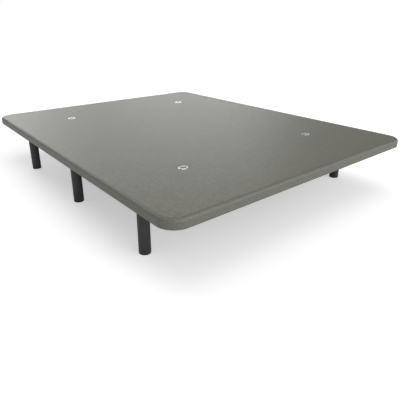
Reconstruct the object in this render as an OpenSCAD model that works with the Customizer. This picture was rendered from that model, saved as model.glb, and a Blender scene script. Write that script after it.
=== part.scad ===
// Upholstered platform bed base on six screw-in legs.
// A welded square-tube frame carries a screwed deck board, a thin foam layer and a stretched cover.
// Origin: on the floor under the middle of the base. +X is the right side, +Y the head end, +Z up.

/* [Overall size] */
// Width of the platform, across the bed
base_w = 1500; // [1350:10:1600]
// Length of the platform, along the bed
base_l = 1900; // [1800:10:2000]
// Height of the sleeping surface above the floor
base_h = 290; // [240:5:340]
// Thickness of the upholstered platform, top to underside
platform_t = 42; // [41:0.5:46]

/* [Edges of the platform] */
// Plan radius of the four corners
corner_r = 77; // [70:1:100]
// Rounding where the side turns onto the top
top_r = 14; // [13:0.5:16]
// Rounding where the side turns under
bottom_r = 5; // [4:0.5:8]
// Distance of the cover's seam from the outer edge
seam_inset = 10; // [7:0.5:12]

/* [Cover and padding] */
// Thickness of the knitted cover
fabric_t = 1.5; // [1:0.1:2]
// Thickness of the foam wrapped round the frame's sides
edge_foam_t = 3; // [2:0.5:4]
// Radius of the welt cord sewn into the seam
welt_r = 0.7; // [0.5:0.05:0.7]
// How far the turned-under hem reaches in from the outer edge
hem_reach = 50; // [46:1:56]
// Thickness of the non-woven dust cover
dust_t = 0.6; // [0.4:0.1:1]
// Distance of the dust cover's edge from the outer edge
dust_inset = 40; // [38:1:44]

/* [Frame] */
// Outer size of the square tube
tube_size = 30; // [28:1:30]
// Wall of the square tube
tube_wall = 1.5; // [1.2:0.1:2]
// Outer corner radius of the tube's section
tube_corner_r = 3; // [2:0.5:4]
// Distance from the middle of the base to the outer leg crossbars
leg_bar_y = 632; // [600:2:680]
// Thickness of the deck board
deck_t = 5; // [4:0.5:6]
// Distance of the deck board's edge from the outer edge
deck_inset = 8; // [7:0.5:10]

/* [Fastenings] */
// Shank radius of the deck screws
screw_r = 2; // [1.5:0.1:2.5]
// Length of the deck screws
screw_len = 16; // [12:1:20]
// Width of the wooden tacking strips
strip_w = 18; // [14:1:22]
// Height of the wooden tacking strips
strip_h = 12; // [10:1:16]
// Spacing of the staples
staple_pitch = 100; // [60:10:140]

/* [Breather vents] */
// Distance of the vents from the middle of the base, across the bed
vent_x = 415; // [300:5:430]
// Distance of the vents from the middle of the base, along the bed
vent_y = 580; // [540:5:585]
// Outer radius of a vent's flange
vent_flange_r = 22; // [20:0.5:26]
// Radius of a vent's opening
vent_bore_r = 13; // [12:0.5:15]

/* [Legs] */
// Distance of the legs from the middle of the base, across the bed
leg_x = 652; // [600:2:670]
// Outer radius of a leg
leg_r = 25; // [20:0.5:30]
// Wall of a leg's tube
leg_wall = 1.5; // [1.2:0.1:2]
// Thickness of the steel disc that closes a leg's top
leg_disc_t = 3; // [2:0.5:4]
// Thickness of the foot cap's sole
foot_t = 5; // [3:0.5:8]
// Thickness of the nylon washer between a leg and its socket
washer_t = 2; // [1:0.5:3]
// Radius of the M10 leg stud
stud_r = 4.95; // [4.9:0.01:4.95]
// Length of the stud above the leg's steel disc
stud_len = 22; // [18:1:24]

/* [Hidden] */
$fn = 72;

// Heights of the layers, from the underside up
under_z = base_h - platform_t;
frame_z = under_z + fabric_t;
deck_z = frame_z + tube_size;
pad_z = deck_z + deck_t;
cover_z = base_h - fabric_t;
section_mid_z = (under_z + base_h) / 2;
skin_mid_r = top_r - fabric_t / 2;
welt_z = base_h - top_r + sqrt(pow(skin_mid_r, 2) - pow(top_r - seam_inset, 2));

// Places of the frame's tubes
frame_inset = fabric_t + edge_foam_t;
rail_x = base_w / 2 - frame_inset - tube_size / 2;
rail_y = base_l / 2 - frame_inset - tube_size / 2;
bend_x = base_w / 2 - corner_r;
bend_y = base_l / 2 - corner_r;
bar_half_l = rail_x - tube_size / 2;
bar_ys = [-leg_bar_y, -leg_bar_y / 2, 0, leg_bar_y / 2, leg_bar_y];
ENDS = [["foot", -1], ["mid", 0], ["head", 1]];
SIDES = [["left", -1], ["right", 1]];
CORNERS = [for (end = [ENDS[0], ENDS[2]]) for (side = SIDES) [str(end[0], "_", side[0]), side[1], end[1]]];
LEGS = [for (end = ENDS) for (side = SIDES) [str(end[0], "_", side[0]), side[1] * leg_x, end[1] * leg_bar_y]];
BARS = ["crossbar_foot", "crossbar_lower", "crossbar_mid", "crossbar_upper", "crossbar_head"];

// Smallest rounding inside the square tube
min_inner_r = 0.5;

// Clearances, and how far a cutting shape passes the surface it cuts
fit_gap = 0.05;
seam_gap = 0.05;
cut = 1;

// Deck screws
screw_head_r = 2 * screw_r;
screw_head_t = 2.4;
screw_tip_t = 3;

// Flanged inserts that take the leg studs
socket_body_r = 7;
socket_flange_r = 10;
socket_bulge_r = 9;
socket_bore_r = 5;
socket_len = 23;
socket_bulge_t = 4;

// Leg details
leg_rim_r = 1;
plug_len = 20;
plug_wall = 2;
dust_leg_gap = 1;
washer_gap = 0.35;
stud_point = 1;

// Vent details, as depths below the sleeping surface and radii
ledge_w = 1;
gauze_depth = 4;
gauze_t = 0.6;
rim_slope_w = 2;
rim_edge_drop = 1;
vent_neck_r = vent_bore_r + 2.5;
vent_lip_r = vent_neck_r + 2;
vent_lip_t = 1.5;
vent_washer_t = 1.5;
vent_gap = 0.2;

// Staples
staple_wire = 0.8;
staple_crown = 10;
staple_leg = 7;
staple_inset = 45;
strip_end_gap = 40;

// Screw spots: three across each crossbar and end rail, and one in each bay of the side rails
screw_spread = 0.3;
bay_steps = [-2.5:2.5];
screw_xs = [-screw_spread * base_w, 0, screw_spread * base_w];
bar_spots = [for (y = bar_ys) for (x = screw_xs) [x, y]];
bay_l = leg_bar_y / 2;
side_spots = [for (s = [-1, 1]) for (i = bay_steps) [s * rail_x, i * bay_l]];
end_spots = [for (s = [-1, 1]) for (x = screw_xs) [x, s * rail_y]];
screw_spots = concat(bar_spots, side_spots, end_spots);
vent_spots = [for (y = [-vent_y, vent_y]) for (x = [-vent_x, vent_x]) [x, y]];

// Runs of tacking strip: [centre, length] of each bay along a side, then the single run across an end
bay_marks = concat([-bend_y], bar_ys, [bend_y]);
last_bay = len(bay_marks) - 2;
side_runs = [
    for (i = [0:last_bay])
        let (low = bay_marks[i] + (i == 0 ? 0 : tube_size / 2))
        let (high = bay_marks[i + 1] - (i == last_bay ? 0 : tube_size / 2))
            [(low + high) / 2, high - low]
];
end_run = [0, 2 * bend_x];

// ---- Shared shapes ----

// Rectangle with true round corners, centred on the origin
module rounded_rect(w, l, r) {
    square([w - 2 * r, l], center = true);
    square([w, l - 2 * r], center = true);
    for (x = [-1, 1], y = [-1, 1])
        translate([x * (w / 2 - r), y * (l / 2 - r)])
            circle(r);
}

// The platform's outline, moved in from the outer edge
module platform_outline(inset) {
    rounded_rect(base_w - 2 * inset, base_l - 2 * inset, corner_r - inset);
}

// Section across the platform's edge, x outward from the plan corner's centre, inset from the skin
module edge_section(inset) {
    top_z = base_h - top_r;
    low_z = under_z + bottom_r;
    translate([0, low_z])
        square([corner_r - inset, top_z - low_z]);
    translate([0, top_z])
        square([corner_r - top_r, top_r - inset]);
    translate([0, under_z + inset])
        square([corner_r - bottom_r, bottom_r - inset]);
    translate([corner_r - top_r, top_z])
        circle(top_r - inset);
    translate([corner_r - bottom_r, low_z])
        circle(bottom_r - inset);
}

// The cover's skin in section
module skin_section() {
    difference() {
        edge_section(0);
        edge_section(fabric_t);
    }
}

// Window on a section: from one inset to another, and from one height to another
module section_window(inset_out, inset_in, z_low, z_high) {
    translate([corner_r - inset_in, z_low])
        square([inset_in - inset_out, z_high - z_low]);
}

// Carries an edge section once round the platform
module round_the_edge() {
    for (turn = [0:3]) {
        along_side = turn % 2 == 0;
        run = along_side ? 2 * bend_y : 2 * bend_x;
        out = along_side ? bend_x : bend_y;
        rotate(turn * 90) {
            translate([out, run / 2, 0])
                rotate([90, 0, 0])
                    linear_extrude(run)
                        children();
            translate([out, run / 2, 0])
                rotate_extrude(angle = 90)
                    children();
        }
    }
}

// Hollow square-tube section with round corners
module tube_section() {
    inner = tube_size - 2 * tube_wall;
    difference() {
        rounded_rect(tube_size, tube_size, tube_corner_r);
        rounded_rect(inner, inner, max(tube_corner_r - tube_wall, min_inner_r));
    }
}

// A tube lying along Y, centred, its underside at frame height
module tube_along_y(len) {
    translate([0, len / 2, frame_z + tube_size / 2])
        rotate([90, 0, 0])
            linear_extrude(len)
                tube_section();
}

// Screw holes down through whatever lies under the deck board
module screw_holes(spots) {
    for (spot = spots)
        translate([spot[0], spot[1], deck_z - screw_len])
            cylinder(r = screw_r + fit_gap, h = screw_len + cut);
}

// ---- Frame ----

module side_rail(side) {
    color("dimgray")
        difference() {
            translate([side * rail_x, 0, 0])
                tube_along_y(2 * bend_y);
            screw_holes([for (s = side_spots) if (s[0] * side > 0) s]);
        }
}

module end_rail(end) {
    color("dimgray")
        difference() {
            translate([0, end * rail_y, 0])
                rotate(90)
                    tube_along_y(2 * bend_x);
            screw_holes([for (s = end_spots) if (s[1] * end > 0) s]);
        }
}

module corner_bend(side, end) {
    start = end > 0 ? (side > 0 ? 0 : 90) : (side > 0 ? 270 : 180);
    color("dimgray")
        translate([side * bend_x, end * bend_y, frame_z + tube_size / 2])
            rotate(start)
                rotate_extrude(angle = 90)
                    translate([corner_r - frame_inset - tube_size / 2, 0])
                        tube_section();
}

module crossbar(y) {
    has_legs = len([for (leg = LEGS) if (leg[2] == y) leg]) > 0;
    color("dimgray")
        difference() {
            translate([0, y, 0])
                rotate(90)
                    tube_along_y(2 * bar_half_l);
            screw_holes([for (s = bar_spots) if (s[1] == y) s]);
            if (has_legs)
                for (x = [-leg_x, leg_x])
                    translate([x, y, frame_z - cut])
                        cylinder(r = socket_body_r + fit_gap, h = tube_wall + 2 * cut);
        }
}

// Flanged M10 insert, clamped through the crossbar's lower wall
module leg_sockets() {
    wall_top = fabric_t + tube_wall;
    bulge_top = wall_top + socket_bulge_t;
    color("silver")
        for (leg = LEGS)
            translate([leg[1], leg[2], under_z])
                rotate_extrude()
                    polygon([
                        [socket_bore_r, 0], [socket_flange_r, 0],
                        [socket_flange_r, fabric_t], [socket_body_r, fabric_t],
                        [socket_body_r, wall_top], [socket_bulge_r, wall_top],
                        [socket_bulge_r, bulge_top], [socket_body_r, bulge_top + fabric_t],
                        [socket_body_r, socket_len], [socket_bore_r, socket_len]
                    ]);
}

// Wooden strips inside the tubes, for the staples
module tacking_strips() {
    side_strip_x = bar_half_l - strip_w / 2;
    end_strip_y = rail_y - tube_size / 2 - strip_w / 2;
    color("burlywood") {
        for (s = [-1, 1], run = side_runs)
            translate([s * side_strip_x, run[0], frame_z + strip_h / 2])
                cube([strip_w, run[1], strip_h], center = true);
        for (s = [-1, 1])
            translate([end_run[0], s * end_strip_y, frame_z + strip_h / 2])
                cube([end_run[1], strip_w, strip_h], center = true);
    }
}

// ---- Deck ----

module deck_panel() {
    color("tan")
        difference() {
            translate([0, 0, deck_z])
                linear_extrude(deck_t)
                    platform_outline(deck_inset);
            for (spot = screw_spots)
                translate([spot[0], spot[1], deck_z])
                    screw_recess();
            vent_holes(vent_neck_r + vent_gap);
        }
}

// Clearance hole and countersink for one deck screw
module screw_recess() {
    translate([0, 0, -cut])
        cylinder(r = screw_r + fit_gap, h = deck_t + 2 * cut);
    translate([0, 0, deck_t - screw_head_t])
        cylinder(r1 = screw_r + fit_gap, r2 = screw_head_r + fit_gap, h = screw_head_t);
}

module deck_screws() {
    shank_low = pad_z - screw_len;
    color("silver")
        for (spot = screw_spots)
            translate([spot[0], spot[1], 0])
                rotate_extrude()
                    polygon([
                        [0, shank_low], [screw_r, shank_low + screw_tip_t],
                        [screw_r, pad_z - screw_head_t], [screw_head_r, pad_z], [0, pad_z]
                    ]);
}

module vent_holes(r) {
    for (spot = vent_spots)
        translate([spot[0], spot[1], deck_z - cut])
            cylinder(r = r, h = platform_t);
}

// ---- Padding and cover ----

module padding_top() {
    color("gainsboro")
        difference() {
            union() {
                translate([0, 0, pad_z])
                    linear_extrude(cover_z - pad_z)
                        platform_outline(top_r);
                round_the_edge()
                    intersection() {
                        edge_section(fabric_t);
                        section_window(0, top_r, pad_z, base_h);
                    }
            }
            vent_holes(vent_neck_r + vent_gap);
        }
}

module padding_edge() {
    color("gainsboro")
        round_the_edge()
            difference() {
                intersection() {
                    edge_section(fabric_t);
                    section_window(0, deck_inset, under_z, pad_z);
                }
                section_window(frame_inset, corner_r, under_z, deck_z);
            }
}

module cover_top() {
    color([0.59, 0.58, 0.55])
        difference() {
            union() {
                translate([0, 0, cover_z])
                    linear_extrude(fabric_t)
                        platform_outline(top_r);
                round_the_edge()
                    intersection() {
                        skin_section();
                        section_window(seam_inset + welt_r + seam_gap, top_r, section_mid_z, base_h);
                    }
            }
            vent_holes(vent_flange_r + vent_gap);
        }
}

module cover_border() {
    color([0.45, 0.45, 0.41])
        round_the_edge()
            intersection() {
                skin_section();
                union() {
                    section_window(0, seam_inset - welt_r - seam_gap, section_mid_z, base_h);
                    section_window(0, bottom_r, under_z, section_mid_z);
                }
            }
}

module seam_welt() {
    color([0.42, 0.42, 0.38])
        round_the_edge()
            translate([corner_r - seam_inset, welt_z])
                circle(welt_r);
}

module cover_hem() {
    color([0.45, 0.45, 0.41])
        round_the_edge()
            intersection() {
                skin_section();
                section_window(bottom_r, hem_reach, under_z, section_mid_z);
            }
}

module dust_cover() {
    color([0.12, 0.12, 0.12])
        translate([0, 0, under_z - dust_t])
            linear_extrude(dust_t)
                difference() {
                    platform_outline(dust_inset);
                    for (leg = LEGS)
                        translate([leg[1], leg[2]])
                            circle(leg_r + dust_leg_gap);
                }
}

// One staple with its crown along X, driven upward from z = 0
module staple() {
    translate([-staple_crown / 2, -staple_wire / 2, -staple_wire])
        cube([staple_crown, staple_wire, staple_wire]);
    for (x = [-staple_crown / 2, staple_crown / 2 - staple_wire])
        translate([x, -staple_wire / 2, -staple_wire / 2])
            cube([staple_wire, staple_wire, staple_leg + staple_wire / 2]);
}

// Centres of the staples along one run of strip
function staple_steps(run) =
    let (count = max(2, round((run[1] - strip_end_gap) / staple_pitch) + 1))
    let (step = (run[1] - strip_end_gap) / (count - 1))
        [for (i = [0:count - 1]) run[0] - (run[1] - strip_end_gap) / 2 + i * step];

module staples() {
    crown_z = under_z - dust_t;
    color("silver") {
        for (s = [-1, 1], run = side_runs, y = staple_steps(run))
            translate([s * (base_w / 2 - staple_inset), y, crown_z])
                rotate(90)
                    staple();
        for (s = [-1, 1], x = staple_steps(end_run))
            translate([x, s * (base_l / 2 - staple_inset), crown_z])
                staple();
    }
}

// ---- Breather vents ----

// Flanged eyelet: low domed rim, neck through the deck, a ledge for the gauze and a rolled lip
module vent_ring(side, end) {
    neck_low = -(base_h - deck_z) - vent_washer_t - vent_lip_t;
    lip_top = neck_low + vent_lip_t;
    ledge_top = -gauze_depth - gauze_t;
    color("silver")
        translate([side * vent_x, end * vent_y, base_h])
            rotate_extrude()
                polygon([
                    [vent_bore_r - ledge_w, neck_low], [vent_lip_r, neck_low],
                    [vent_lip_r, lip_top], [vent_neck_r, lip_top],
                    [vent_neck_r, -fabric_t], [vent_flange_r, -fabric_t],
                    [vent_flange_r, -rim_edge_drop], [vent_flange_r - rim_slope_w, 0],
                    [vent_bore_r + rim_slope_w, 0], [vent_bore_r, -fabric_t],
                    [vent_bore_r, ledge_top], [vent_bore_r - ledge_w, ledge_top]
                ]);
}

module vent_gauzes() {
    color("lightgray")
        for (spot = vent_spots)
            translate([spot[0], spot[1], base_h - gauze_depth - gauze_t])
                cylinder(r = vent_bore_r - fit_gap, h = gauze_t);
}

module vent_washers() {
    color("silver")
        for (spot = vent_spots)
            translate([spot[0], spot[1], deck_z - vent_washer_t])
                difference() {
                    cylinder(r = vent_flange_r, h = vent_washer_t);
                    translate([0, 0, -cut])
                        cylinder(r = vent_neck_r + fit_gap, h = vent_washer_t + 2 * cut);
                }
}

// ---- Legs ----

module leg_washer(x, y) {
    color([0.2, 0.2, 0.2])
        translate([x, y, under_z - washer_t])
            difference() {
                cylinder(r = leg_r, h = washer_t);
                translate([0, 0, -cut])
                    cylinder(r = stud_r + washer_gap, h = washer_t + 2 * cut);
            }
}

// Steel disc welded into the leg's top, with the threaded stud standing on it
module leg_stud(x, y) {
    disc_z = under_z - washer_t - leg_disc_t;
    stud_top = leg_disc_t + stud_len;
    color([0.16, 0.16, 0.16])
        translate([x, y, disc_z])
            rotate_extrude()
                polygon([
                    [0, 0], [leg_r, 0], [leg_r, leg_disc_t - leg_rim_r],
                    [leg_r - leg_rim_r, leg_disc_t], [stud_r, leg_disc_t],
                    [stud_r, stud_top - stud_point], [stud_r - stud_point, stud_top], [0, stud_top]
                ]);
}

module leg_tube(x, y) {
    disc_z = under_z - washer_t - leg_disc_t;
    color([0.18, 0.18, 0.18])
        translate([x, y, foot_t])
            linear_extrude(disc_z - foot_t)
                difference() {
                    circle(leg_r);
                    circle(leg_r - leg_wall);
                }
}

// Plastic foot: a sole as wide as the leg, with a hollow plug up inside the tube
module leg_foot(x, y) {
    plug_r = leg_r - leg_wall - fit_gap;
    color([0.13, 0.13, 0.13])
        translate([x, y, 0])
            rotate_extrude()
                polygon([
                    [0, 0], [leg_r - leg_rim_r, 0], [leg_r, leg_rim_r], [leg_r, foot_t],
                    [plug_r, foot_t], [plug_r, foot_t + plug_len],
                    [plug_r - plug_wall, foot_t + plug_len], [plug_r - plug_wall, foot_t],
                    [0, foot_t]
                ]);
}

// ---- Nodes ----

side_rail(-1);  // side_rail_left
side_rail(1);  // side_rail_right
end_rail(1);  // head_rail
end_rail(-1);  // foot_rail
for (c = CORNERS) corner_bend(c[1], c[2]);
for (i = [0:len(BARS) - 1]) crossbar(bar_ys[i]);
leg_sockets();
tacking_strips();
deck_panel();
deck_screws();
padding_top();
padding_edge();
cover_top();
cover_border();
seam_welt();
cover_hem();
dust_cover();
staples();
for (c = CORNERS) vent_ring(c[1], c[2]);
vent_gauzes();
vent_washers();
for (leg = LEGS) leg_washer(leg[1], leg[2]);
for (leg = LEGS) leg_stud(leg[1], leg[2]);
for (leg = LEGS) leg_tube(leg[1], leg[2]);
for (leg = LEGS) leg_foot(leg[1], leg[2]);
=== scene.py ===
"""Looks of the upholstered bed base: fabric, vents, legs and underside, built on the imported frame.

Units are metres, in the frame of the CAD model: +X right side, +Y head end, floor at z = 0.
"""

import math

import bmesh
import bpy
import numpy as np
from mathutils import Matrix, Vector


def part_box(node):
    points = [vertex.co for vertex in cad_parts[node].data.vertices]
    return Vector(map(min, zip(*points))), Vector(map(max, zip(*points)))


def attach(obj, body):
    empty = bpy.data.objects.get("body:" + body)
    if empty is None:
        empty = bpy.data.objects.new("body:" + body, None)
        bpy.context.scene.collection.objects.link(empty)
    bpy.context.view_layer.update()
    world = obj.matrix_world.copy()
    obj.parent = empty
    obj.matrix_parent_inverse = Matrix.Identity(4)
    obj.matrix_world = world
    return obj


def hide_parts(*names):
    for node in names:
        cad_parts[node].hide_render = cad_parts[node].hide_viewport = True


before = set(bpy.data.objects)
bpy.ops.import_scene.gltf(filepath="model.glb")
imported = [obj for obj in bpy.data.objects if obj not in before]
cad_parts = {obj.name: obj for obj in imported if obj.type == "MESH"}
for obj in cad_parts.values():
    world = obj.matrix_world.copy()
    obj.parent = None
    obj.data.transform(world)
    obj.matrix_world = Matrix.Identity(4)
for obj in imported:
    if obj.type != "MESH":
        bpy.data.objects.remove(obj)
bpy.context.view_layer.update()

MM = 0.001

# ---------------------------------------------------------------- sizes, from the frame

skin_low, skin_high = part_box("cover_border")
dust_low, dust_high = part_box("dust_cover")
deck_low, deck_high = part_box("deck_panel")

HALF_W = skin_high.x
HALF_L = skin_high.y
TOP_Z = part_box("cover_top")[1].z
PAD_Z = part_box("padding_top")[0].z  # underside of the foam sheet
UNDER_Z = skin_low.z
CORE_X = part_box("corner_bend_head_right")[0].x  # centres of the plan corners
CORE_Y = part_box("corner_bend_head_right")[0].y
CORNER_R = HALF_W - CORE_X
FRAME_FACE_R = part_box("side_rail_right")[1].x - CORE_X

ENDS = ("foot", "mid", "head")
SIDES = ("left", "right")
LEGS = [f"{end}_{side}" for end in ENDS for side in SIDES]
VENTS = [f"{end}_{side}" for end in ("foot", "head") for side in SIDES]

# Shape of the edge, as on the CAD model
TOP_R = 14 * MM
BOTTOM_R = 5 * MM
SEAM_INSET = 10 * MM
HEM_REACH = 50 * MM
FABRIC_T = 1.2 * MM


def middle(node):
    """Middle of a CAD node's box."""
    low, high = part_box(node)
    return (low + high) / 2


def radius_of(node):
    """Radius of a round upright CAD node."""
    low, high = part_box(node)
    return (high.x - low.x) / 2


# ---------------------------------------------------------------- mesh tools


def mesh_object(name, points, faces):
    """A new smooth-shaded object from points and faces."""
    mesh = bpy.data.meshes.new(name)
    mesh.from_pydata(points, [], faces)
    mesh.validate()
    mesh.polygons.foreach_set("use_smooth", [True] * len(mesh.polygons))
    made = bpy.data.objects.new(name, mesh)
    bpy.context.scene.collection.objects.link(made)
    return made


def merge_close(made, distance=1e-6):
    """Welds points that coincide, drops faces that this collapses, and turns the normals outward."""
    work = bmesh.new()
    work.from_mesh(made.data)
    bmesh.ops.remove_doubles(work, verts=work.verts, dist=distance)
    bmesh.ops.dissolve_degenerate(work, edges=work.edges, dist=distance)
    bmesh.ops.recalc_face_normals(work, faces=work.faces)
    work.to_mesh(made.data)
    work.free()
    return made


def strips(turns, count, closed=True, first=0):
    """Faces that join each section of count points to the next one, all the way round."""
    faces = []
    for i in range(turns):
        here, there = first + i * count, first + (i + 1) % turns * count
        for j in range(count if closed else count - 1):
            k = (j + 1) % count
            faces.append((here + j, there + j, there + k, here + k))
    return faces


def lathe(name, profile, centre, segments=96, closed=True):
    """Turns a profile of (radius, height) pairs about a vertical axis through centre."""
    points = []
    for i in range(segments):
        angle = 2 * math.pi * i / segments
        points += [(radius * math.cos(angle), radius * math.sin(angle), height) for radius, height in profile]
    made = mesh_object(name, points, strips(segments, len(profile), closed))
    merge_close(made)
    made.data.transform(Matrix.Translation(Vector((centre.x, centre.y, 0))))
    return made


def rounded(corners, radius, steps=4):
    """A closed (r, z) outline with an arc at each corner; corners are (r, z) or (r, z, own radius)."""
    outline = []
    count = len(corners)
    for i, corner in enumerate(corners):
        here = np.array(corner[:2], float)
        bend = corner[2] if len(corner) > 2 else radius
        before = np.array(corners[i - 1][:2], float) - here
        after = np.array(corners[(i + 1) % count][:2], float) - here
        if bend <= 0 or here[0] < 1e-9:
            outline.append(tuple(here))
            continue
        before /= np.linalg.norm(before)
        after /= np.linalg.norm(after)
        half = math.acos(max(-1.0, min(1.0, before @ after))) / 2
        back = bend / math.tan(half)
        middle_way = before + after
        centre = here + middle_way / np.linalg.norm(middle_way) * bend / math.sin(half)
        start, stop = here + before * back - centre, here + after * back - centre
        first = math.atan2(start[1], start[0])
        turn = math.atan2(stop[1], stop[0]) - first
        turn = (turn + math.pi) % (2 * math.pi) - math.pi
        for s in range(steps + 1):
            angle = first + turn * s / steps
            outline.append((centre[0] + bend * math.cos(angle), centre[1] + bend * math.sin(angle)))
    return outline


def arc(centre, radius, first, last, steps):
    """Points on an arc of the edge's section, angles in degrees from the outward direction."""
    angles = [math.radians(first + (last - first) * i / steps) for i in range(steps + 1)]
    return [(centre[0] + radius * math.cos(a), centre[1] + radius * math.sin(a)) for a in angles]


def ramp(value):
    """A value held between 0 and 1."""
    return min(1.0, max(0.0, value))


def spread(low, high, step):
    """Evenly spaced values from low to high, at most step apart."""
    count = max(1, math.ceil((high - low) / step - 1e-6))
    return [low + (high - low) * i / count for i in range(count + 1)]


def settle(made, hold, frames, tension, gravity, shrink=0.0):
    """Runs a cloth simulation and returns how far it moves each vertex; hold is each vertex's pin weight."""
    group = made.vertex_groups.new(name="hold")
    for index, weight in enumerate(hold):
        group.add([index], weight, "REPLACE")
    modifier = made.modifiers.new("cloth", "CLOTH")
    settings = modifier.settings
    settings.quality = 6
    settings.mass = 0.05
    settings.tension_stiffness = settings.compression_stiffness = tension
    settings.shear_stiffness = tension / 3
    settings.bending_stiffness = 0.5
    settings.air_damping = 3.0
    settings.vertex_group_mass = "hold"
    settings.shrink_min = shrink
    settings.effector_weights.gravity = gravity
    modifier.collision_settings.use_collision = False
    modifier.point_cache.frame_start = 1
    modifier.point_cache.frame_end = frames
    scene = bpy.context.scene
    for step in range(1, frames + 1):
        scene.frame_set(step)
    settled = made.evaluated_get(bpy.context.evaluated_depsgraph_get()).data
    shifts = [after.co - before.co for after, before in zip(settled.vertices, made.data.vertices)]
    made.modifiers.remove(modifier)
    made.vertex_groups.remove(group)
    scene.frame_set(1)
    return shifts


# ---------------------------------------------------------------- the edge, carried round the platform

VENT_REACH = 60 * MM  # half side of the square of finer mesh round a vent
VENT_CELLS = 8
GRID_STEP = 42 * MM
CORNER_STEPS = 36


def mirrored(half):
    """Mesh lines on both sides of zero, from those at and above it."""
    return [-v for v in reversed(half[1:])] + half


def grid_lines(vent, limit):
    """Mesh lines from -limit to limit, with a finer run across each vent."""
    low, high = vent - VENT_REACH, vent + VENT_REACH
    fine = [low + 2 * VENT_REACH * i / VENT_CELLS for i in range(VENT_CELLS + 1)]
    return mirrored(spread(0, low, GRID_STEP)[:-1] + fine + spread(high, limit, GRID_STEP)[1:])


vent_at = middle("vent_ring_head_right")
XS = grid_lines(vent_at.x, CORE_X)
YS = grid_lines(vent_at.y, CORE_Y)


def stations():
    """Stops once round the platform, and the whole length.

    Each stop is the point on the rectangle of corner centres, the outward direction, the length so far,
    and how far round its corner the stop lies, from 0 to 1 (0 on the straight runs).
    """
    stops, along = [], 0.0
    runs = [
        ([(CORE_X, y) for y in YS], 0),
        ([(x, CORE_Y) for x in reversed(XS)], 90),
        ([(-CORE_X, y) for y in reversed(YS)], 180),
        ([(x, -CORE_Y) for x in XS], 270),
    ]
    for places, heading in runs:
        before = None
        for place in places:
            if before is not None:
                along += math.dist(place, before)
            before = place
            angle = math.radians(heading)
            stops.append((place, (math.cos(angle), math.sin(angle)), along, 0.0))
        for i in range(1, CORNER_STEPS):
            angle = math.radians(heading + 90 * i / CORNER_STEPS)
            piece = math.radians(90 * i / CORNER_STEPS) * CORNER_R
            stops.append((places[-1], (math.cos(angle), math.sin(angle)), along + piece, i / CORNER_STEPS))
        along += math.radians(90) * CORNER_R
    return stops, along


STOPS, ROUND_LENGTH = stations()


def sweep(name, section, closed=True, wobble=None):
    """Carries a section of (radius, z) points round the platform. UVs are metres along and across.

    wobble gives an (outward, upward) shift from the length so far, the corner fraction and the point.
    """
    count = len(section)
    across = np.concatenate([[0], np.cumsum([math.dist(a, b) for a, b in zip(section, section[1:])])])
    points, uvs = [], []
    for (cx, cy), (nx, ny), along, turn in STOPS:
        for j, (radius, height) in enumerate(section):
            out, up = wobble(along, turn, section[j]) if wobble else (0, 0)
            points.append((cx + nx * (radius + out), cy + ny * (radius + out), height + up))
            uvs.append((along, across[j]))
    made = mesh_object(name, points, strips(len(STOPS), count, closed))
    layer = made.data.uv_layers.new(name="UVMap")
    for polygon in made.data.polygons:
        first = [made.data.loops[loop].vertex_index // count for loop in polygon.loop_indices]
        wraps = max(first) - min(first) > 1
        for loop in polygon.loop_indices:
            vertex = made.data.loops[loop].vertex_index
            u, v = uvs[vertex]
            if wraps and vertex // count == 0:
                u = ROUND_LENGTH
            layer.data[loop].uv = (u, v)
    return made


def add_subdivision(made):
    """One level of Catmull-Clark subdivision, left as a modifier."""
    modifier = made.modifiers.new("subdivision", "SUBSURF")
    modifier.levels = modifier.render_levels = 1


def add_thickness(made, thickness):
    """Gives a sheet its thickness, inward from the outer face."""
    modifier = made.modifiers.new("thickness", "SOLIDIFY")
    modifier.thickness = thickness
    modifier.offset = -1
    modifier.use_even_offset = False


# ---------------------------------------------------------------- materials


class Nodes:
    """Short calls that add nodes to a node tree."""

    def __init__(self, tree):
        self.tree = tree

    def feed(self, socket, value):
        """Links a socket or sets a plain value."""
        if isinstance(value, bpy.types.NodeSocket):
            self.tree.links.new(value, socket)
        else:
            socket.default_value = value

    def add(self, kind, inputs=None, **settings):
        """A new node of a kind, its inputs fed by name or place."""
        made = self.tree.nodes.new(kind)
        for key, value in settings.items():
            setattr(made, key, value)
        for key, value in (inputs or {}).items():
            self.feed(made.inputs[key], value)
        return made

    def math(self, operation, first, second=0.0, third=0.0):
        """Output of a math node."""
        inputs = {0: first, 1: second, 2: third}
        return self.add("ShaderNodeMath", inputs, operation=operation).outputs[0]

    def coordinates(self, kind):
        """Object or UV coordinates, in metres."""
        return self.add("ShaderNodeTexCoord").outputs[kind]

    def noise(self, vector, scale, detail=2.0, roughness=0.5):
        """Noise from 0 to 1, about scale blobs to the metre."""
        inputs = {"Vector": vector, "Scale": scale, "Detail": detail, "Roughness": roughness}
        return self.add("ShaderNodeTexNoise", inputs).outputs["Fac"]

    def mix(self, factor, first, second):
        """Mixes two colours."""
        made = self.add("ShaderNodeMix", data_type="RGBA")
        self.feed(made.inputs[0], factor)
        self.feed(made.inputs[6], first)
        self.feed(made.inputs[7], second)
        return made.outputs[2]

    def span(self, value, low, high, to_low=0.0, to_high=1.0, kind="LINEAR"):
        """Maps a value from one range onto another, clamped."""
        inputs = {"Value": value, "From Min": low, "From Max": high, "To Min": to_low, "To Max": to_high}
        return self.add("ShaderNodeMapRange", inputs, interpolation_type=kind).outputs["Result"]


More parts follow.
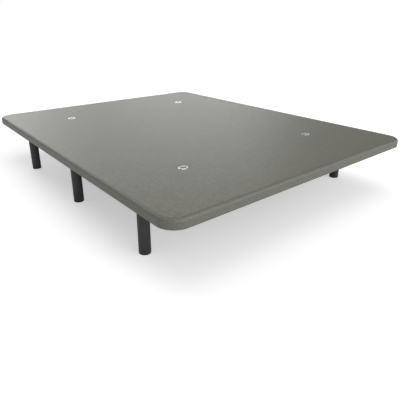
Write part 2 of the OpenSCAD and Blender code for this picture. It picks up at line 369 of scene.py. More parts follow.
class Shader(Nodes):
    """A new node material."""

    def __init__(self, name, **surface):
        self.material = bpy.data.materials.new(name)
        self.material.use_nodes = True
        super().__init__(self.material.node_tree)
        self.surface = self.tree.nodes["Principled BSDF"]
        for socket, value in surface.items():
            self.feed(self.surface.inputs[socket.replace("_", " ")], value)

    def paint(self, colour):
        """Feeds the base colour."""
        self.feed(self.surface.inputs["Base Color"], colour)

    def bump(self, height, strength, distance):
        """Feeds a height into the surface's normal."""
        inputs = {"Height": height, "Strength": strength, "Distance": distance}
        made = self.add("ShaderNodeBump", inputs)
        self.feed(self.surface.inputs["Normal"], made.outputs["Normal"])


def grey(value, tint=(1.0, 1.0, 1.0)):
    """A linear colour from a brightness and a tint."""
    return (value * tint[0], value * tint[1], value * tint[2], 1.0)


OLIVE = (1.0, 1.0, 0.74)
SIDE_OLIVE = (1.0, 1.0, 0.83)

KNIT_CELL = 3.4 * MM
KNIT_DEPTH = 0.35 * MM
KNIT_TONES = (0.066, 0.215)  # in the gaps and on the yarn; the darker gaps are painted shade
CORD_TWIST = 2.2 * MM
# CORD_TONES: between the strands (painted shade) and on them
CORD_TONES = (0.060, 0.185)
DULL_SHARE = 0.45  # share of a metal's brightness that is left below the given height
DULL_EDGE = 0.4 * MM
BOND_PITCH = 2.6 * MM  # of the dust cloth's bonded points


def knit_material(name, coordinates, roughness, sheen, tint, lightness=1.0, clump_scale=105.0):
    """3D knit: a diamond lattice of small cells with painted shade in the gaps, uneven yarn, clumps of yarn
    and a faint mottle.
    """
    shader = Shader(name, Roughness=roughness, Sheen_Weight=sheen, Sheen_Roughness=0.42)
    place = shader.coordinates(coordinates)
    parts = shader.add("ShaderNodeSeparateXYZ", {0: place})
    shift = shader.math("MULTIPLY_ADD", shader.noise(place, 210.0), 1.1, -0.55)
    u = shader.math("MULTIPLY_ADD", parts.outputs["X"], math.pi / KNIT_CELL, shift)
    v = shader.math("MULTIPLY_ADD", parts.outputs["Y"], math.pi / KNIT_CELL, shift)
    one = shader.math("SINE", shader.math("ADD", u, v))
    two = shader.math("SINE", shader.math("SUBTRACT", u, v))
    cells = shader.math("MULTIPLY", shader.math("ABSOLUTE", one), shader.math("ABSOLUTE", two))
    yarn = shader.noise(place, 900.0, 3.0, 0.6)
    mottle = shader.span(shader.noise(place, 45.0, 3.0), 0.3, 0.7, 0.95, 1.05)
    clumps = shader.span(shader.noise(place, clump_scale), 0.25, 0.75, 0.75, 1.25)
    relief = shader.math("MULTIPLY_ADD", cells, 0.75, shader.math("MULTIPLY_ADD", yarn, 0.5, -0.25))
    # The colour is darker in the lattice's gaps: painted shade between the yarns, on top of the bump
    dark, light = (grey(tone * lightness, tint) for tone in KNIT_TONES)
    tone = shader.math("MULTIPLY", mottle, clumps)
    toned = shader.add("ShaderNodeMix", data_type="RGBA", blend_type="MULTIPLY")
    shader.feed(toned.inputs[0], 1.0)
    shader.feed(toned.inputs[6], shader.mix(shader.span(relief, 0.0, 0.85), dark, light))
    shader.feed(toned.inputs[7], shader.add("ShaderNodeCombineColor", {0: tone, 1: tone, 2: tone}).outputs[0])
    shader.paint(toned.outputs[2])
    shader.bump(relief, 0.5, KNIT_DEPTH)
    return shader.material


def cord_material(name):
    """Twisted cord in the cover's colour: slanting strands, with painted shade between them."""
    shader = Shader(name, Roughness=0.7, Sheen_Weight=0.15, Sheen_Roughness=0.45)
    place = shader.coordinates("UV")
    parts = shader.add("ShaderNodeSeparateXYZ", {0: place})
    slant = shader.math("ADD", parts.outputs["X"], parts.outputs["Y"])
    phase = shader.math("MULTIPLY", slant, 2 * math.pi / CORD_TWIST)
    strands = shader.math("ABSOLUTE", shader.math("SINE", phase))
    fibres = shader.math("MULTIPLY_ADD", shader.noise(place, 1500.0), 0.4, strands)
    # The colour is darker between the strands: painted shade in the grooves
    dark, light = (grey(tone, OLIVE) for tone in CORD_TONES)
    shader.paint(shader.mix(shader.span(fibres, 0.1, 1.1), dark, light))
    shader.bump(fibres, 0.6, 0.2 * MM)
    return shader.material


def metal_material(name, brightness, roughness, tint, scratches=400.0, dull_below=None):
    """Bare or plated metal with fine uneven polish, darker below a height if one is given."""
    shader = Shader(name, Metallic=1.0, Base_Color=grey(brightness, tint))
    place = shader.coordinates("Object")
    if dull_below is not None:
        height = shader.add("ShaderNodeSeparateXYZ", {0: place}).outputs["Z"]
        # Darker below dull_below: on the eyelets, this is their bore and underside
        inside = shader.span(height, dull_below - DULL_EDGE, dull_below, 1.0, 0.0)
        shader.paint(shader.mix(inside, grey(brightness, tint), grey(DULL_SHARE * brightness, tint)))
    wear = shader.noise(place, scratches, 4.0, 0.65)
    polish = shader.span(wear, 0.3, 0.7, roughness * 0.8, roughness * 1.3)
    shader.feed(shader.surface.inputs["Roughness"], polish)
    shader.bump(wear, 0.12, 0.05 * MM)
    return shader.material


def coat_material(name, brightness, roughness, grain=1400.0):
    """Powder coat or moulded plastic: a fine orange-peel grain and slightly uneven gloss."""
    shader = Shader(name)
    place = shader.coordinates("Object")
    cloud = shader.noise(place, 45.0, 3.0)
    shader.paint(shader.mix(shader.span(cloud, 0.3, 0.7), grey(brightness * 0.9), grey(brightness * 1.12)))
    gloss = shader.span(cloud, 0.3, 0.7, roughness * 0.92, roughness * 1.1)
    shader.feed(shader.surface.inputs["Roughness"], gloss)
    shader.bump(shader.noise(place, grain), 0.35, 0.06 * MM)
    return shader.material


def wood_material(name, low, high, stretch):
    """Raw wood or fibreboard: fibres stretched along Y, with pores."""
    shader = Shader(name, Roughness=0.78)
    place = shader.coordinates("Object")
    squeezed = shader.add("ShaderNodeMapping", {"Vector": place, "Scale": (stretch, 1.0, stretch)})
    fibre = shader.noise(squeezed.outputs[0], 22.0, 5.0, 0.65)
    pores = shader.noise(place, 700.0, 3.0, 0.7)
    both = shader.math("MULTIPLY_ADD", pores, 0.35, shader.math("MULTIPLY", fibre, 0.65))
    shader.paint(shader.mix(shader.span(both, 0.35, 0.65), low, high))
    shader.bump(both, 0.25, 0.2 * MM)
    return shader.material


def foam_material(name):
    """Pale open-cell foam."""
    shader = Shader(name, Roughness=0.9)
    place = shader.coordinates("Object")
    cells = shader.add("ShaderNodeTexVoronoi", {"Vector": place, "Scale": 900.0}).outputs["Distance"]
    pale, deep = grey(0.66, (1.0, 0.98, 0.90)), grey(0.44, (1.0, 0.97, 0.88))
    shader.paint(shader.mix(shader.span(cells, 0.0, 0.6), pale, deep))
    shader.bump(cells, 0.6, 0.3 * MM)
    return shader.material


def dust_material(name):
    """Black non-woven cloth: matted fibres with a grid of small bonded points."""
    shader = Shader(name, Roughness=0.85, Sheen_Weight=0.15, Sheen_Roughness=0.5)
    place = shader.coordinates("Object")
    fibres = shader.noise(place, 650.0, 5.0, 0.75)
    parts = shader.add("ShaderNodeSeparateXYZ", {0: place})
    phases = [shader.math("MULTIPLY", parts.outputs[axis], 2 * math.pi / BOND_PITCH) for axis in "XY"]
    u, v = (shader.math("SINE", phase) for phase in phases)
    points = shader.span(shader.math("MULTIPLY", u, v), 0.55, 0.9)
    height = shader.math("SUBTRACT", fibres, points)
    shader.paint(shader.mix(shader.span(height, -0.4, 0.7), grey(0.010), grey(0.038)))
    shader.bump(height, 0.5, 0.15 * MM)
    return shader.material


top_knit = knit_material("top_knit", "Object", 0.40, 0.18, OLIVE)
# side_knit is the top's knit made 1.32 times lighter: painted light on the side panel
side_knit = knit_material("side_knit", "UV", 0.50, 0.10, SIDE_OLIVE, lightness=1.32, clump_scale=160.0)
welt_cord = cord_material("welt_cord")
dust_cloth = dust_material("dust_cloth")
foam = foam_material("foam")
board = wood_material("board", grey(0.42, (1.0, 0.74, 0.48)), grey(0.56, (1.0, 0.78, 0.54)), 3.0)
pine = wood_material("pine", grey(0.46, (1.0, 0.75, 0.45)), grey(0.66, (1.0, 0.80, 0.55)), 14.0)
frame_coat = coat_material("frame_coat", 0.028, 0.5)
zinc = metal_material("zinc", 0.62, 0.35, (1.0, 0.99, 0.95))
nickel = metal_material("nickel", 0.94, 0.12, (1.0, 0.99, 0.965), 300.0, dull_below=TOP_Z - 0.5 * MM)
gauze_wire = metal_material("gauze_wire", 0.55, 0.4, (1.0, 0.98, 0.94))
leg_coat = coat_material("leg_coat", 0.044, 0.42)
foot_plastic = coat_material("foot_plastic", 0.009, 0.55, 900.0)
nylon = coat_material("nylon", 0.012, 0.40, 500.0)

# ---------------------------------------------------------------- finish of a piece


def finish_piece(made, material, body, nodes):
    """Material, body and the CAD nodes that the piece stands for."""
    made.data.materials.clear()
    made.data.materials.append(material)
    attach(made, body)
    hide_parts(*nodes)
    return made


# ---------------------------------------------------------------- the fabric

DIMPLE = 1.7 * MM  # how far a vent's flange presses the fabric down
DIMPLE_SPREAD = 10 * MM
FLANGE_R = radius_of("vent_ring_head_right")
VENT_BORE_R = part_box("vent_gauzes")[1].x - vent_at.x
SEAM_HALF_W = 2.2 * MM  # from the seam's line to where the fabric starts to turn down into it
SEAM_R = CORNER_R - SEAM_INSET
SEAM_Z = TOP_Z - TOP_R + math.sqrt(TOP_R**2 - (TOP_R - SEAM_INSET) ** 2)
WELT_R = 0.7 * MM
VENT_HOLE_R = FLANGE_R - 5 * MM
PLEATS = 6  # folds of the gathered hem at each corner
PLEAT_RISE = 1.8 * MM


def dimple(x, y):
    """Depth of the fabric's dip at a point, from the nearest vent."""
    away = math.hypot(abs(x) - vent_at.x, abs(y) - vent_at.y) - FLANGE_R
    return DIMPLE * math.exp(-max(away, 0.0) / DIMPLE_SPREAD)


def shoulder(steps):
    """Arc of the platform's top edge."""
    return arc((CORNER_R - TOP_R, TOP_Z - TOP_R), TOP_R, 90, 0, steps)


def seam_lip(side):
    """Fabric turning down into the seam, on the top panel's side (-1) or the border's (1)."""
    shape = [(0.95, -0.03), (0.68, -0.16), (0.58, -0.60), (0.58, -2.00)]
    slope = -side * 0.25 * MM
    return [(SEAM_R + side * out * MM, SEAM_Z + slope + drop * MM) for out, drop in shape]


def holed_square(cx, cy, reach, cells, rings):
    """Points and faces of a square sheet with a round hole, in rings from the hole out to the square."""
    border = []
    for side in range(4):
        for i in range(cells):
            t = -reach + 2 * reach * i / cells
            border.append([(reach, t), (-t, reach), (-reach, -t), (t, -reach)][side])
    points, faces = [], []
    for radius in rings:
        for bx, by in border:
            angle = math.atan2(by, bx)
            points.append((cx + radius * math.cos(angle), cy + radius * math.sin(angle)))
    points += [(cx + bx, cy + by) for bx, by in border]
    count = len(border)
    for ring in range(len(rings)):
        for i in range(count):
            k = (i + 1) % count
            faces.append((ring * count + i, (ring + 1) * count + i, (ring + 1) * count + k, ring * count + k))
    return points, faces


def holed_sheet(xs, ys, level, holes, reach, cells, rings):
    """Points and faces of a level sheet on mesh lines xs and ys, with a holed square at each of the holes."""
    points = [(x, y, level) for x in xs for y in ys]
    faces = []
    for i in range(len(xs) - 1):
        for j in range(len(ys) - 1):
            mid_x, mid_y = (xs[i] + xs[i + 1]) / 2, (ys[j] + ys[j + 1]) / 2
            if not any(abs(mid_x - x) < reach and abs(mid_y - y) < reach for x, y in holes):
                here, there = i * len(ys) + j, (i + 1) * len(ys) + j
                faces.append((here, there, there + 1, here + 1))
    for hole in holes:
        first = len(points)
        patch, patch_faces = holed_square(*hole, reach, cells, rings)
        points += [(x, y, level) for x, y in patch]
        faces += [tuple(first + k for k in face) for face in patch_faces]
    return points, faces


def face_sheet(made, up):
    """Turns a sheet's normals up or down."""
    if (sum(face.normal.z * face.area for face in made.data.polygons) > 0) != up:
        made.data.flip_normals()


FOAM_HOLD = 0.45  # how firmly the foam holds the fabric up, as a pin weight
PRESSED = 3 * MM  # how far out from a vent's flange the fabric is held down
DIPS = {}  # how far the settled cover lies from the flat, by place in whole millimetres


def dip_place(x, y):
    """Key of a place in DIPS."""
    return round(x / MM), round(y / MM)


def press_vents(made, level):
    """Lets the cover settle as cloth: sewn at the seam, pressed down at the vents, borne up by foam."""
    hold = []
    for vertex in made.data.vertices:
        spot = vertex.co
        away = math.hypot(abs(spot.x) - vent_at.x, abs(spot.y) - vent_at.y) - FLANGE_R
        edge = min(HALF_W - abs(spot.x), HALF_L - abs(spot.y))
        held = away < PRESSED or edge < TOP_R
        hold.append(1.0 if held else FOAM_HOLD)
        if not held:
            spot.z = level
    shifts = settle(made, hold, frames=16, tension=40.0, gravity=0.0, shrink=0.01)
    for vertex, shift in zip(made.data.vertices, shifts):
        spot = vertex.co
        if min(HALF_W - abs(spot.x), HALF_L - abs(spot.y)) > TOP_R:
            DIPS[dip_place(spot.x, spot.y)] = spot.z + shift.z - level
        vertex.co += shift


def make_panel(name, level, section, thickness):
    """A sheet over the whole top: a flat field with dips and holes at the vents, and a given edge section."""
    vents = [(side * vent_at.x, end * vent_at.y) for side in (-1, 1) for end in (-1, 1)]
    rings = [VENT_HOLE_R, FLANGE_R - 1 * MM, FLANGE_R + 2 * MM, FLANGE_R + 6 * MM, 36 * MM, 45 * MM]
    points, faces = holed_sheet(XS, YS, level, vents, VENT_REACH, VENT_CELLS, rings)
    faces += strips(len(STOPS), len(section), closed=False, first=len(points))
    for (cx, cy), (nx, ny), _, _ in STOPS:
        points += [(cx + nx * radius, cy + ny * radius, z) for radius, z in section]
    points = [(x, y, z + DIPS.get(dip_place(x, y), -dimple(x, y))) for x, y, z in points]
    made = mesh_object(name, points, faces)
    merge_close(made)
    if not DIPS:
        press_vents(made, level)
    face_sheet(made, up=True)
    add_subdivision(made)
    add_thickness(made, thickness)
    return made


def flat_run(level):
    """The first points of a panel's edge section, out across the flat of the corner."""
    return [(0.0, level), (22 * MM, level), (44 * MM, level), (56 * MM, level)]


def make_top_fabric():
    """The top panel of the cover, its edge turned down into the seam."""
    turn = [p for p in shoulder(10) if p[0] < SEAM_R - SEAM_HALF_W]
    return make_panel("top_fabric", TOP_Z, flat_run(TOP_Z) + turn + seam_lip(-1), FABRIC_T)


def make_top_foam():
    """The foam sheet under the top panel, its edge rounded down over the deck board's."""
    gap = FABRIC_T + 0.2 * MM
    level = TOP_Z - gap
    turn = arc((CORNER_R - TOP_R, TOP_Z - TOP_R), TOP_R - gap, 90, 48, 6)
    return make_panel("top_foam", level, flat_run(level) + turn, level - PAD_Z - 0.1 * MM)


def border_wobble(along, turn, place):
    """Slight unevenness of the side panel, and gathers where its hem turns the corners underneath."""
    radius, height = place
    reach = CORNER_R - radius
    uneven = 0.25 * MM * math.sin(along * 2 * math.pi * 9 / ROUND_LENGTH + 1.0)
    uneven += 0.15 * MM * math.sin(along * 2 * math.pi * 23 / ROUND_LENGTH)
    if height > UNDER_Z + BOTTOM_R:
        down = ramp((SEAM_Z - height) / (SEAM_Z - UNDER_Z - BOTTOM_R))
        return uneven * math.sin(math.pi * down), 0.0
    if height > UNDER_Z + 0.01 * MM or turn == 0:
        return 0.0, 0.0
    fold = math.cos(math.pi * PLEATS * turn) ** 2 - 1
    grow = ramp((reach - 6 * MM) / (20 * MM)) * ramp((HEM_REACH + 8 * MM - reach) / (20 * MM))
    return 0.0, PLEAT_RISE * grow * fold


def make_border_fabric():
    """The side panel: from the seam down the side, round the bottom edge and in under the frame."""
    over = [p for p in shoulder(14) if p[0] > SEAM_R + SEAM_HALF_W]
    side = [(CORNER_R, z) for z in spread(UNDER_Z + BOTTOM_R, TOP_Z - TOP_R, 6 * MM)[::-1][1:-1]]
    low = arc((CORNER_R - BOTTOM_R, UNDER_Z + BOTTOM_R), BOTTOM_R, 0, -90, 5)
    reaches = (8 * MM, 14 * MM, 20 * MM, 26 * MM, 34 * MM, 42 * MM, HEM_REACH)
    hem = [(CORNER_R - reach, UNDER_Z) for reach in reaches]
    section = seam_lip(1)[::-1] + over + side + low + hem
    made = sweep("border_fabric", section, closed=False, wobble=border_wobble)
    made.data.flip_normals()
    add_subdivision(made)
    add_thickness(made, FABRIC_T)
    return made


def make_welt():
    """Twisted cord sewn into the seam, level with the fabric on both sides."""
    ring = [math.radians(45 * i) for i in range(8)]
    centre = SEAM_Z - 0.55 * WELT_R
    section = [(SEAM_R + WELT_R * math.cos(a), centre + WELT_R * math.sin(a)) for a in ring]
    made = sweep("seam_cord", section)
    add_subdivision(made)
    return made


def make_edge_foam():
    """Foam strip round the frame's sides, stepped over the deck board's edge."""
    skin, board_in, frame_in = FABRIC_T + 0.3 * MM, HALF_W - deck_high.x, CORNER_R - FRAME_FACE_R
    outline = rounded(
        [
            (CORNER_R - frame_in, UNDER_Z + 2 * MM, 1.0 * MM),
            (CORNER_R - skin, UNDER_Z + 2 * MM, 2.4 * MM),
            (CORNER_R - skin, PAD_Z - 3 * MM, 3.0 * MM),
            (CORNER_R - skin - 3 * MM, PAD_Z, 1.0 * MM),
            (CORNER_R - board_in, PAD_Z, 0.4 * MM),
            (CORNER_R - board_in, deck_low.z, 0.4 * MM),
            (CORNER_R - frame_in, deck_low.z, 0.4 * MM),
        ],
        0.4 * MM,
        3,
    )
    made = sweep("edge_foam", outline)
    merge_close(made)
    return made


top_fabric = finish_piece(make_top_fabric(), top_knit, "base", ["cover_top"])
border_nodes = ["cover_border", "cover_hem"]
border_fabric = finish_piece(make_border_fabric(), side_knit, "base", border_nodes)
finish_piece(make_welt(), welt_cord, "base", ["seam_welt"])
top_foam = finish_piece(make_top_foam(), foam, "base", ["padding_top"])
edge_foam = finish_piece(make_edge_foam(), foam, "base", ["padding_edge"])

# ---------------------------------------------------------------- the dust cover underneath

LEG_PATCH = 50 * MM  # half side of the square of finer mesh round a leg
LEG_CELLS = 8
DUST_HOLE_R = radius_of("leg_tube_mid_right") + 1.5 * MM
DUST_T = 0.5 * MM
DUST_SAG = 6 * MM  # most that the cloth may hang down
DUST_MARGIN = 12 * MM  # width of the stapled edge
DUST_DROP = 0.1 * MM  # from the hem above it
PLEAT_DROP = 0.9 * MM  # the further drop under the hem's gathers
PLEAT_AREA = 30 * MM


def half_lines(*runs):
    """Mesh lines from zero outward through (end, cells) runs."""
    lines = [0.0]
    for end, cells in runs:
        start = lines[-1]
        lines += [start + (end - start) * (i + 1) / cells for i in range(cells)]
    return lines


def round_off(x, y, core_x, core_y, radius):
    """Moves a point of a square corner, outside the core, onto a quarter disc."""
    u, v = abs(x) - core_x, abs(y) - core_y
    if u <= 0 or v <= 0:
        return x, y
    reach, angle = max(u, v) / radius, math.pi / 4 * min(u, v) / max(u, v)
    if v > u:
        angle = math.pi / 2 - angle
    return (
        math.copysign(core_x + reach * radius * math.cos(angle), x),
        math.copysign(core_y + reach * radius * math.sin(angle), y),
    )


def make_dust_cover():
    """Non-woven cloth stapled under the frame, cut round the legs; it hangs a little in the middle."""
    leg = middle("leg_tube_head_right")
    half_w, half_l = dust_high.x, dust_high.y
    core_x = leg.x + LEG_PATCH / 2
    radius = half_w - core_x
    core_y = half_l - radius
    out = half_lines((leg.x - LEG_PATCH, 22), (leg.x + LEG_PATCH, LEG_CELLS), (half_w, 1))
    by_legs = [(LEG_PATCH, LEG_CELLS // 2), (leg.y - LEG_PATCH, 19), (leg.y + LEG_PATCH, LEG_CELLS)]
    up = half_lines(*by_legs, (core_y, 7), (half_l, 3))
    holes = [(side * leg.x, row) for side in (-1, 1) for row in (-leg.y, 0.0, leg.y)]
    rings = [DUST_HOLE_R, DUST_HOLE_R + 4 * MM, DUST_HOLE_R + 11 * MM]
    points, faces = holed_sheet(mirrored(out), mirrored(up), UNDER_Z, holes, LEG_PATCH, LEG_CELLS, rings)
    points = [(*round_off(x, y, core_x, core_y, radius), z) for x, y, z in points]
    made = mesh_object("dust_cloth_sheet", points, faces)
    merge_close(made)
    face_sheet(made, up=False)

    def edge_gap(spot):
        """Distance of a point in from the sheet's edge."""
        return min(half_w - abs(spot.x), half_l - abs(spot.y))

    def in_corner(spot, margin=0.0):
        """Whether a point lies at a plan corner, or within a margin of it."""
        return abs(spot.x) > core_x - margin and abs(spot.y) > core_y - margin

    spots = [vertex.co.copy() for vertex in made.data.vertices]
    hold = [1.0 if edge_gap(spot) < DUST_MARGIN or in_corner(spot) else 0.0 for spot in spots]
    shifts = settle(made, hold, frames=24, tension=400.0, gravity=0.03)
    ease = min(1.0, DUST_SAG / max(-shift.z for shift in shifts))
    for vertex, spot, shift in zip(made.data.vertices, spots, shifts):
        drop = DUST_DROP + (PLEAT_DROP if in_corner(spot, PLEAT_AREA) else 0.0)
        vertex.co = spot + shift * ease - Vector((0, 0, drop))
    add_subdivision(made)
    add_thickness(made, DUST_T)
    return made


dust_sheet = finish_piece(make_dust_cover(), dust_cloth, "base", ["dust_cover"])

# ---------------------------------------------------------------- vents


def make_vent_ring(name):
    """Spun eyelet: a flat flange, a rounded mouth, a neck with a ledge, and a rolled lip behind the deck."""
    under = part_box(f"vent_ring_{name}")[0].z
    bore, top = VENT_BORE_R, TOP_Z + 0.4 * MM
    outline = rounded(
        [
            (FLANGE_R, TOP_Z - 1.5 * MM, 0.25 * MM),
            (FLANGE_R, top - 0.9 * MM, 0.5 * MM),
            (FLANGE_R - 1.2 * MM, top, 1.0 * MM),
            (bore + 1.6 * MM, top, 1.2 * MM),
            (bore, TOP_Z - 1.6 * MM, 1.2 * MM),
            (bore, TOP_Z - 4.6 * MM, 0.1 * MM),
            (bore - 1 * MM, TOP_Z - 4.6 * MM, 0.1 * MM),
            (bore - 1 * MM, under, 0.2 * MM),
            (bore + 4.4 * MM, under, 0.5 * MM),
            (bore + 4.4 * MM, under + 1.45 * MM, 0.5 * MM),
            (bore + 2.4 * MM, under + 1.45 * MM, 0.1 * MM),
            (bore + 2.4 * MM, TOP_Z - 1.5 * MM, 0.2 * MM),
        ],
        0.3 * MM,
    )
    return lathe(f"vent_{name}", outline, middle(f"vent_ring_{name}"), 128)


def make_gauzes():
    """Woven wire discs, one in each vent: over-and-under wires trimmed to the ledge's circle."""
    pitch, wire_r, reach = 2.0 * MM, 0.28 * MM, VENT_BORE_R - 0.5 * MM
    level = middle("vent_gauzes").z
    points, faces = [], []
    sides = 6

    def add_wire(at, offset, along_x, phase):
        """One wire across a vent, at an offset from its middle, waving up or down first."""
        half = math.sqrt(max(reach**2 - offset**2, 0))
        if half < 2 * pitch:
            return
        steps = max(4, int(2 * half / pitch * 4))
        first = len(points)
        for i in range(steps + 1):
            t = -half + 2 * half * i / steps
            rise = wire_r * math.cos(math.pi * t / pitch) * phase
            for s in range(sides):
                angle = 2 * math.pi * s / sides
                wide, tall = wire_r * math.cos(angle), wire_r * math.sin(angle) + rise
                x, y = (t, offset + wide) if along_x else (offset + wide, t)
                points.append((at.x + x, at.y + y, level + tall))
        for i in range(steps):
            for s in range(sides):
                k = (s + 1) % sides
                here, there = first + i * sides, first + (i + 1) * sides
                faces.append((here + s, here + k, there + k, there + s))
        faces.append(tuple(first + s for s in reversed(range(sides))))
        faces.append(tuple(first + steps * sides + s for s in range(sides)))

    for name in VENTS:
        at = middle(f"vent_ring_{name}")
        count = int(reach / pitch)
        for i in range(-count, count + 1):
            phase = 1 if i % 2 == 0 else -1
            add_wire(at, i * pitch, True, phase)
            add_wire(at, i * pitch, False, -phase)
    made = mesh_object("vent_gauzes_woven", points, faces)
    merge_close(made, 1e-7)
    return made


for vent in VENTS:
    finish_piece(make_vent_ring(vent), nickel, "base", [f"vent_ring_{vent}"])
finish_piece(make_gauzes(), gauze_wire, "base", ["vent_gauzes"])

# ---------------------------------------------------------------- legs

LEG_WALL = 1.5 * MM
STUD_R = 4.95 * MM
THREAD_PITCH = 1.5 * MM
THREAD_DEPTH = 0.9 * MM
THREAD_START = 1.2 * MM  # above the disc that the stud stands on
FOOT_GROOVE = 0.6 * MM  # depth of the foot's tread
FOOT_RINGS = (5, 9, 13, 17)  # inner radii of the tread's narrow rings, in mm
FOOT_RIM = 20.5 * MM  # inner radius of the ring at its rim
FOOT_BARBS = (4, 9, 14)  # heights of the plug's barbs above the sole, in mm


def eased_ring(bore, radius, low, high, ease):
    """Outline of a plain ring between two heights, its edges eased."""
    return rounded([(bore, low), (radius, low), (radius, high), (bore, high)], ease)


def make_leg_tube(leg):
    """Powder-coated steel tube with eased ends."""
    node = f"leg_tube_{leg}"
    low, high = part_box(node)
    radius = radius_of(node)
    return lathe(f"tube_{leg}", eased_ring(radius - LEG_WALL, radius, low.z, high.z, 0.4 * MM), middle(node))


def make_leg_stud(leg):
    """Steel disc of a leg's top with a cut thread standing on it."""
    node = f"leg_stud_{leg}"
    low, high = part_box(node)
    at, radius, root = middle(node), radius_of(node), STUD_R - THREAD_DEPTH
    disc_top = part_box(f"leg_washer_{leg}")[0].z
    segments, per_turn = 36, 8
    disc = [
        (radius - 0.4 * MM, low.z),
        (radius, low.z + 0.4 * MM),
        (radius, disc_top - 1.0 * MM),
        (radius - 0.3 * MM, disc_top - 0.3 * MM),
        (radius - 1.0 * MM, disc_top),
        (STUD_R + 2 * MM, disc_top),
        (STUD_R + 0.5 * MM, disc_top + 0.1 * MM),
        (root, disc_top + 0.9 * MM),
    ]
    tall = high.z - disc_top - THREAD_START
    steps = int(tall / THREAD_PITCH * per_turn)
    points = []
    for i in range(segments):
        angle = 2 * math.pi * i / segments
        ring = list(disc)
        for k in range(steps + 1):
            height = disc_top + THREAD_START + tall * k / steps
            phase = (height / THREAD_PITCH - angle / (2 * math.pi)) % 1.0
            tooth = ramp(1.25 - abs(phase - 0.5) * 3.4)
            fade = min(1.0, (high.z - height) / (1.5 * MM), (height - disc_top) / (3 * MM))
            ring.append((root + THREAD_DEPTH * tooth * fade, height))
        ring.append((root - 1.2 * MM, high.z))
        points += [(at.x + r * math.cos(angle), at.y + r * math.sin(angle), z) for r, z in ring]
    count = len(ring)
    faces = strips(segments, count, closed=False)
    faces.append(tuple(i * count for i in reversed(range(segments))))
    faces.append(tuple(i * count + count - 1 for i in range(segments)))
    return merge_close(mesh_object(f"stud_{leg}", points, faces))


def make_leg_foot(leg):
    """Moulded foot: a sole with a tread of rings underneath, and a barbed plug up inside the tube."""
    node = f"leg_foot_{leg}"
    low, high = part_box(node)
    radius, sole_top = radius_of(node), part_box(f"leg_tube_{leg}")[0].z
    plug, floor, groove = radius - LEG_WALL - 0.05 * MM, low.z, low.z + FOOT_GROOVE
    tread = []
    for inner in FOOT_RINGS:
        ring = [(inner, groove), (inner, floor), (inner + 2, floor), (inner + 2, groove)]
        tread += [(r * MM, z) for r, z in ring]
    barbs = []
    for step in FOOT_BARBS:
        barb = [(0.0, 0.0), (0.5, 0.6), (0.5, 3.0), (0.0, 4.0)]
        barbs += [(plug - inset * MM, sole_top + (step + rise) * MM, 0.1 * MM) for inset, rise in barb]
    outline = rounded(
        [
            (0.0, groove, 0),
            *tread,
            (FOOT_RIM, groove),
            (FOOT_RIM, floor),
            (radius - 0.6 * MM, floor, 0.8 * MM),
            (radius, low.z + 1.4 * MM, 0.6 * MM),
            (radius, sole_top - 0.1 * MM, 0.4 * MM),
            (plug, sole_top - 0.1 * MM, 0.1 * MM),
            *barbs,
            (plug, high.z, 0.6 * MM),
            (plug - 2 * MM, high.z, 0.6 * MM),
            (plug - 2 * MM, sole_top, 0.8 * MM),
            (0.0, sole_top, 0),
        ],
        0.2 * MM,
        3,
    )
    return lathe(f"foot_{leg}", outline, middle(node), closed=False)


def make_leg_washer(leg):
    """Nylon washer with eased edges."""
    node = f"leg_washer_{leg}"
    low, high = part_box(node)
    outline = eased_ring(STUD_R + 0.35 * MM, radius_of(node), low.z, high.z, 0.5 * MM)
    return lathe(f"washer_{leg}", outline, middle(node))


for leg in LEGS:
    body = f"leg_{leg}"
    finish_piece(make_leg_tube(leg), leg_coat, body, [f"leg_tube_{leg}"])
    finish_piece(make_leg_stud(leg), leg_coat, body, [f"leg_stud_{leg}"])
    finish_piece(make_leg_foot(leg), foot_plastic, body, [f"leg_foot_{leg}"])
    finish_piece(make_leg_washer(leg), nylon, f"washer_{leg}", [f"leg_washer_{leg}"])

# ---------------------------------------------------------------- CAD nodes that stay

NODE_MATERIALS = {
    "rail": frame_coat,
    "corner_bend": frame_coat,
    "crossbar": frame_coat,
    "leg_sockets": zinc,
    "tacking_strips": pine,
    "deck_panel": board,
    "deck_screws": zinc,
    "staples": zinc,
    "vent_washers": zinc,
}
for name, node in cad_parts.items():
    material = next((m for key, m in NODE_MATERIALS.items() if key in name), None)
    if material:
        node.data.materials.clear()
        node.data.materials.append(material)

# ---------------------------------------------------------------- floor, light and camera

FLOOR_HALF = 40.0
FLOOR_GLOW = 0.45
FLOOR_TONE = 0.8
AMBIENT = 0.10
LAMPS = [  # azimuth from +Y towards +X, elevation and half-angle in degrees, strength
    (0, 27, 20, 4.3),
    (50, 27, 20, 0.3),
    (20, 6, 18, 1.5),
    (40, 6, 16, 2.2),
    (140, 22, 40, 1.6),
    (180, 22, 40, 1.7),
    (270, 52, 40, 0.4),
    (0, 90, 36, 1.2),
    (212, 70, 34, 0.5),
]


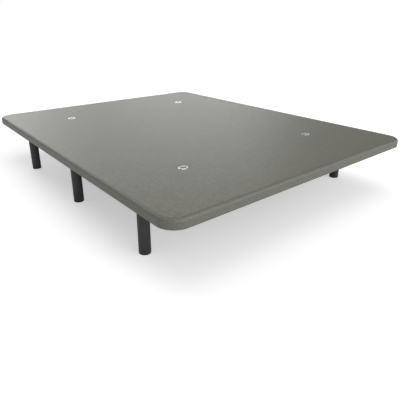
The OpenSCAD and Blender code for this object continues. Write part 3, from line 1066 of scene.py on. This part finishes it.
def make_floor():
    """A wide pale floor whose own glow keeps the shadows on it pale; the glow lights nothing else."""
    corners = [(x * FLOOR_HALF, y * FLOOR_HALF, 0) for x, y in ((-1, -1), (1, -1), (1, 1), (-1, 1))]
    made = mesh_object("floor", corners, [(0, 1, 2, 3)])
    shader = Shader("floor_white", Base_Color=grey(FLOOR_TONE), Roughness=1.0)
    shader.feed(shader.surface.inputs["Specular IOR Level"], 0.0)
    shader.feed(shader.surface.inputs["Emission Color"], grey(1.0))
    seen = shader.add("ShaderNodeLightPath").outputs["Is Camera Ray"]
    shader.feed(shader.surface.inputs["Emission Strength"], shader.math("MULTIPLY", seen, FLOOR_GLOW))
    made.data.materials.append(shader.material)


def make_world():
    """A white studio lit by an even ambient level and wide soft lamps far away."""
    world = bpy.data.worlds.new("studio")
    world.use_nodes = True
    studio = Nodes(world.node_tree)
    direction = studio.add("ShaderNodeTexCoord").outputs["Generated"]
    level = AMBIENT
    for azimuth, elevation, reach, strength in LAMPS:
        turn, rise = math.radians(azimuth), math.radians(elevation)
        axis = (math.sin(turn) * math.cos(rise), math.cos(turn) * math.cos(rise), math.sin(rise))
        facing = studio.add("ShaderNodeVectorMath", {0: direction, 1: axis}, operation="DOT_PRODUCT")
        edge = math.cos(math.radians(reach))
        lamp = studio.span(facing.outputs["Value"], edge, 1.0, 0.0, strength, "SMOOTHSTEP")
        level = studio.math("ADD", lamp, level)
    seen = studio.add("ShaderNodeLightPath").outputs["Is Camera Ray"]
    backdrop = studio.add("ShaderNodeMix", data_type="FLOAT")
    studio.feed(backdrop.inputs[0], seen)
    studio.feed(backdrop.inputs[2], level)
    studio.feed(backdrop.inputs[3], 1.0)
    background = world.node_tree.nodes["Background"]
    studio.feed(background.inputs["Color"], grey(1.0))
    studio.feed(background.inputs["Strength"], backdrop.outputs[0])
    bpy.context.scene.world = world


def make_camera():
    """The photograph's viewpoint: beyond the foot end's left corner, looking along the bed and down."""
    data = bpy.data.cameras.new("camera")
    data.sensor_width = 36.0
    data.lens = 36.13
    data.shift_x = -0.0007
    data.shift_y = -0.07
    camera = bpy.data.objects.new("camera", data)
    bpy.context.scene.collection.objects.link(camera)
    yaw, pitch = 0.6871, 0.362
    forward = Vector((math.sin(yaw) * math.cos(pitch), math.cos(yaw) * math.cos(pitch), -math.sin(pitch)))
    camera.location = (-1.3605, -1.8426, 0.8661)
    camera.rotation_euler = forward.to_track_quat("-Z", "Y").to_euler()
    bpy.context.scene.camera = camera


make_floor()
make_world()
make_camera()
bpy.context.scene.view_settings.view_transform = "Standard"
